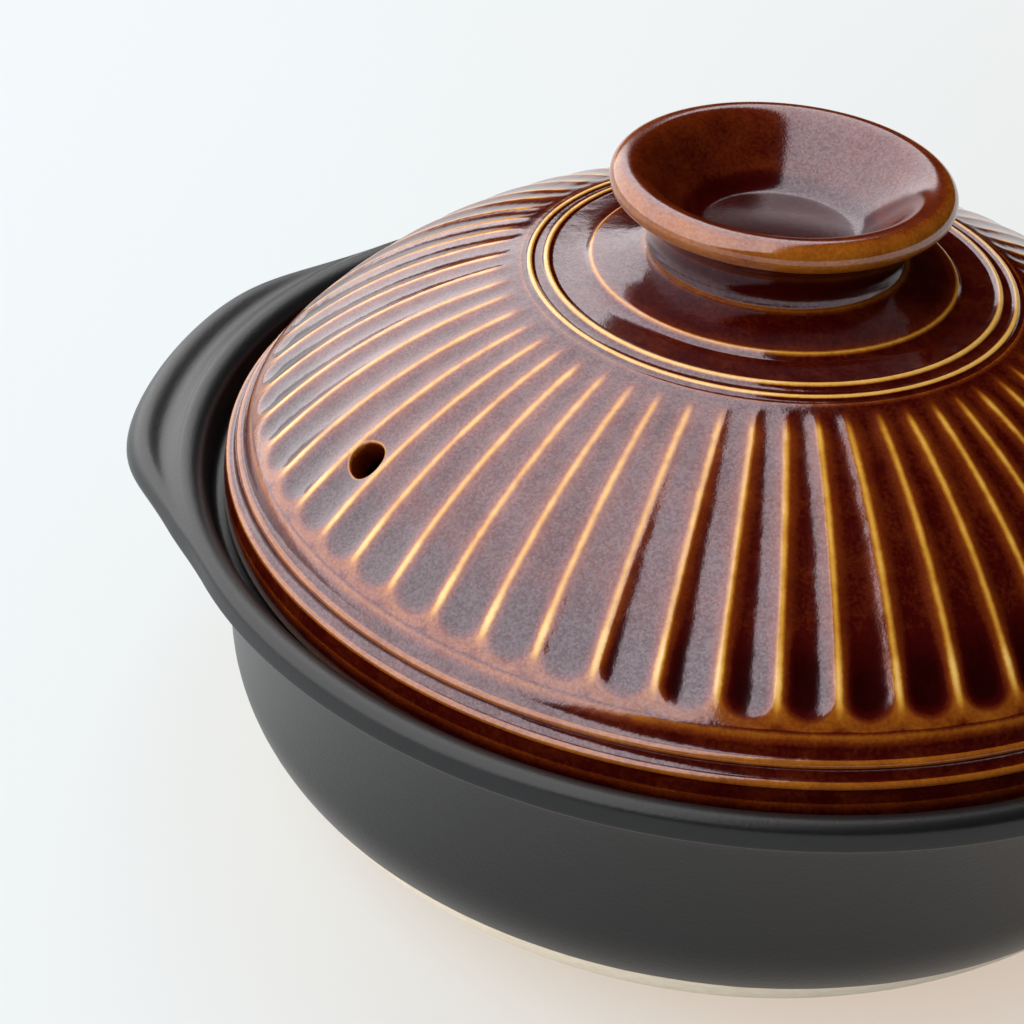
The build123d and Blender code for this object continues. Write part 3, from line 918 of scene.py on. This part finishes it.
# Loops of the mesh's open edges, each as its edges and the mean place along the axis
def openLoops(shell, middle, axis):
    waiting = {edge for edge in shell.edges if edge.is_boundary}
    loops = []
    while waiting:
        loop, front = [], [waiting.pop()]
        while front:
            edge = front.pop()
            loop.append(edge)
            near = [other for vertex in edge.verts for other in vertex.link_edges if other in waiting]
            waiting.difference_update(near)
            front += near
        heights = [axis.dot(vertex.co - middle) for edge in loop for vertex in edge.verts]
        loops.append((sum(heights) / len(heights), loop))
    return sorted(loops, key=lambda item: -item[0])


def drillSteamHole(piece):
    angle = math.radians(steamHole["angle"])
    radius, height = domeAt(steamHole["radius"])
    lean = math.asin((steamHole["radius"] - lid["domeCentre"][0]) / lid["domeTurn"])
    middle = Vector((radius * math.cos(angle), radius * math.sin(angle), height)) * mm
    axis = Vector((math.sin(lean) * math.cos(angle), math.sin(lean) * math.sin(angle), math.cos(lean)))
    side = Vector((-math.sin(angle), math.cos(angle), 0))
    slope = axis.cross(side)
    shell = bmesh.new()
    shell.from_mesh(piece.data)
    surface = BVHTree.FromBMesh(shell)
    layers = [shell.verts.layers.float[name] for name in ("bulge", "fromEdge", "fromRidge")]

    def fromAxis(vertex):
        away = vertex.co - middle
        return away.cross(axis).length if abs(axis.dot(away)) < steamHole["reach"] * mm else 1.0

    clear = steamHole["clear"] * mm
    inside = [face for face in shell.faces if min(fromAxis(vertex) for vertex in face.verts) < clear]
    samples = [(vertex.co.copy(), [vertex[layer] for layer in layers])
               for face in inside for vertex in face.verts]
    bmesh.ops.delete(shell, geom=inside, context="FACES")
    strength, peak, spread = steamHole["lipBulge"]
    rings = []
    for way in (1, -1):
        for wider, sunk in steamHole["lip"][::way]:
            ring = []
            for i in range(steamHole["segments"]):
                turn = math.tau * i / steamHole["segments"]
                away = (steamHole["width"] / 2 + wider) * mm
                spot = middle + (side * math.cos(turn) + slope * math.sin(turn)) * away
                hit = surface.ray_cast(spot + axis * way * steamHole["rayStart"] * mm, -axis * way)[0]
                ring.append(shell.verts.new(hit - axis * way * sunk * mm))
                near = min(samples, key=lambda sample: (sample[0] - hit).length)
                for layer, value in zip(layers, near[1]):
                    ring[-1][layer] = value
                if way == 1:
                    ring[-1][layers[0]] = strength * math.exp(-((wider - peak) / spread) ** 2)
            rings.append(ring)
    for first, second in zip(rings, rings[1:]):
        for i in range(len(first)):
            k = (i + 1) % len(first)
            shell.faces.new((first[i], first[k], second[k], second[i]))
    loops = openLoops(shell, middle, axis)
    ringLoops = [item for item in loops if len(item[1]) == steamHole["segments"]]
    holeLoops = [item for item in loops if len(item[1]) != steamHole["segments"]]
    for (_, ringLoop), (_, holeLoop) in zip(ringLoops, holeLoops):
        bmesh.ops.bridge_loops(shell, edges=ringLoop + holeLoop)
    bmesh.ops.recalc_face_normals(shell, faces=shell.faces)
    print("steam hole open edges:", sum(edge.is_boundary for edge in shell.edges))
    shell.to_mesh(piece.data)
    shell.free()
    piece.data.shade_smooth()


drillSteamHole(lidPiece)
print("steam hole drilled")


# Knob: dished, luted to the crown

knob = {
    "base": 130.3,
    "height": 17.9,
    "footRadius": 27.1,
    "footSlope": 112.0,
    "neck": (27.0, 4.3),
    "lipRadius": 35.6,
    "lipTurn": 3.3,
    "lipStart": 30.0,
    "dish": ((15.5, -13.3), (18.5, -11.9), (26.5, -3.1), (29.0, -0.9)),
    "dishDepth": 13.6,
    "coat": 0.3,
    "rows": 120,
    "columns": 224,
}


def knobProfile():
    base, top = knob["base"], knob["base"] + knob["height"]
    centre = (knob["lipRadius"] - knob["lipTurn"], top - knob["lipTurn"])
    neck = (knob["neck"][0], base + knob["neck"][1])
    lip = sweep(centre, knob["lipTurn"], knob["lipStart"] - 90, 90)
    dish = [(radius, top + drop) for radius, drop in knob["dish"]]
    dish = bends(outward, (0, top - knob["dishDepth"]), *dish, lip[-1])
    return [(0, base), *bends(knob["footSlope"], (knob["footRadius"], base), neck, lip[0]), *lip, *dish[::-1]]


knobFine = glazed(knobProfile(), knob["coat"])
knobRows = rowsOf(knobFine, knob["rows"])
knobPiece = turnOnWheel("lid_knob_dish", knobFine, knobRows, evenAngles(knob["columns"]))
knobPiece.data.materials.append(knobGlaze)
print("knob turned")


# Bodies: the pot with its lugs makes one, the lid with its knob the other

for piece, node, body, slot in (
    (potPiece, "pot_bowl", "pot", "pot_glaze"), (lugRight, "handle_right", "pot", "pot_glaze"),
    (lugLeft, "handle_left", "pot", "pot_glaze"), (lidPiece, "lid_shell", "lid", "lid_glaze"),
    (knobPiece, "lid_knob", "lid", "lid_glaze"),
):
    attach(piece, body)
    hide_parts(node)


# Table, light and camera

# The table shows one brightness to the camera and to mirrored rays and throws another up at the object. It
# goes from the photograph's warm shadow, painted as a dim warm glow near the object, to its cool far side.
# The world gives mirrored rays nothing.
stage = {
    "corners": [(-9, -3, 0), (9, -3, 0), (9, 15, 0), (-9, 15, 0)],
    "far": (0.25, 0.9),
    "thrown": (0.45, 0.45, 0.45, 1.0),
    "nearShade": (0.15, 0.24, 0.30, 1.0),
    "farShade": (0.0, 0.0, 0.0, 1.0),
    # painted warm shade: near the object the glow is dim and tan, so the object's real shadow shows warm
    "nearPaintedShadeGlow": (0.6, 0.47, 0.37, 1.0),
    "farGlow": (0.90, 0.92, 0.93, 1.0),
    "world": 0.35,
}


def stageTable():
    mesh = bpy.data.meshes.new("table")
    mesh.from_pydata(stage["corners"], [], [(0, 1, 2, 3)])
    floor = bpy.data.objects.new("table", mesh)
    bpy.context.scene.collection.objects.link(floor)
    material, tree = newMaterial("table_white_with_painted_warm_shade")
    rays = tree.nodes.new("ShaderNodeLightPath").outputs
    mirrored = calc(tree, "ADD", rays["Is Glossy Ray"], rays["Is Transmission Ray"])
    seen = calc(tree, "ADD", rays["Is Camera Ray"], mirrored, clamp=True)
    spot = addNode(tree, "ShaderNodeSeparateXYZ", {0: objectPlace(tree)}).outputs
    squares = [calc(tree, "MULTIPLY", spot[i], spot[i]) for i in (0, 1)]
    far = between(tree, calc(tree, "SQRT", calc(tree, "ADD", *squares)), *stage["far"])
    shade = mixed(tree, far, stage["nearShade"], stage["farShade"])
    matt = addNode(tree, "ShaderNodeBsdfDiffuse", {"Color": mixed(tree, seen, stage["thrown"], shade)})
    # The glow is a painted warm shade near the object and an even cool white far off
    glow = addNode(tree, "ShaderNodeEmission", {
        "Color": mixed(tree, far, stage["nearPaintedShadeGlow"], stage["farGlow"]), "Strength": seen,
    })
    both = addNode(tree, "ShaderNodeAddShader", {0: matt.outputs[0], 1: glow.outputs[0]})
    end = tree.nodes.new("ShaderNodeOutputMaterial")
    tree.links.new(both.outputs[0], end.inputs[0])
    mesh.materials.append(material)
    return floor


floor = stageTable()

# A wide diffusing panel leans over the object from the left, and a weak one with no lean, aimed at the
# object, fills in from the front
lights = {
    "scrim": {
        "place": (-0.60, 0.0, 0.66), "lean": 41.0, "size": (1.76, 3.2), "radiance": 2.75, "glossy": True,
    },
    "fill": {
        "place": (-0.9, -1.3, 0.55), "lean": None, "size": (1.4, 1.0), "radiance": 0.9, "glossy": False,
    },
}
for name, light in lights.items():
    data = bpy.data.lights.new(name, "AREA")
    data.shape = "RECTANGLE"
    data.size, data.size_y = light["size"]
    data.energy = light["radiance"] * math.pi * data.size * data.size_y
    lamp = bpy.data.objects.new(name, data)
    lamp.location = light["place"]
    if light["lean"] is None:
        lamp.rotation_euler = (-lamp.location).to_track_quat("-Z", "Y").to_euler()
    else:
        lamp.rotation_euler = (0, math.radians(-light["lean"]), 0)
    lamp.visible_glossy = light["glossy"]
    bpy.context.scene.collection.objects.link(lamp)

world = bpy.data.worlds.new("studio")
bpy.context.scene.world = world
world.use_nodes = True
worldTree = world.node_tree
background = worldTree.nodes["Background"].inputs
background["Color"].default_value = linear("#ffffff")
glossyRay = addNode(worldTree, "ShaderNodeLightPath").outputs["Is Glossy Ray"]
otherRay = calc(worldTree, "SUBTRACT", 1.0, glossyRay)
worldTree.links.new(calc(worldTree, "MULTIPLY", otherRay, stage["world"]), background["Strength"])

place = Vector(cameraView["place"])
forward = (Vector(cameraView["target"]) - place).normalized()
heading = math.radians(cameraView["heading"])
right = Vector((math.cos(heading), math.sin(heading), 0))
below = forward.cross(right)
axes = Matrix((right, below, forward))
tilt = Matrix.Rotation(math.radians(cameraView["tilt"]), 3, "X")
pan = Matrix.Rotation(math.radians(cameraView["pan"]), 3, "Y")
roll = Matrix.Rotation(math.radians(cameraView["roll"]), 3, "Z")
axes = roll @ pan @ tilt @ axes
turn = Matrix((axes[0], -axes[1], -axes[2])).transposed()
cameraData = bpy.data.cameras.new("camera")
cameraData.sensor_width = cameraView["sensorWidth"]
cameraData.lens = cameraView["focalPixels"] * cameraView["sensorWidth"] / cameraView["imagePixels"]
cameraData.clip_start = cameraView["nearClip"]
cameraObject = bpy.data.objects.new("camera", cameraData)
cameraObject.matrix_world = Matrix.Translation(place * mm) @ turn.to_4x4()
bpy.context.scene.collection.objects.link(cameraObject)
bpy.context.scene.camera = cameraObject
bpy.context.scene.view_settings.view_transform = "Standard"
print("stage set")

bpy.context.view_layer.update()
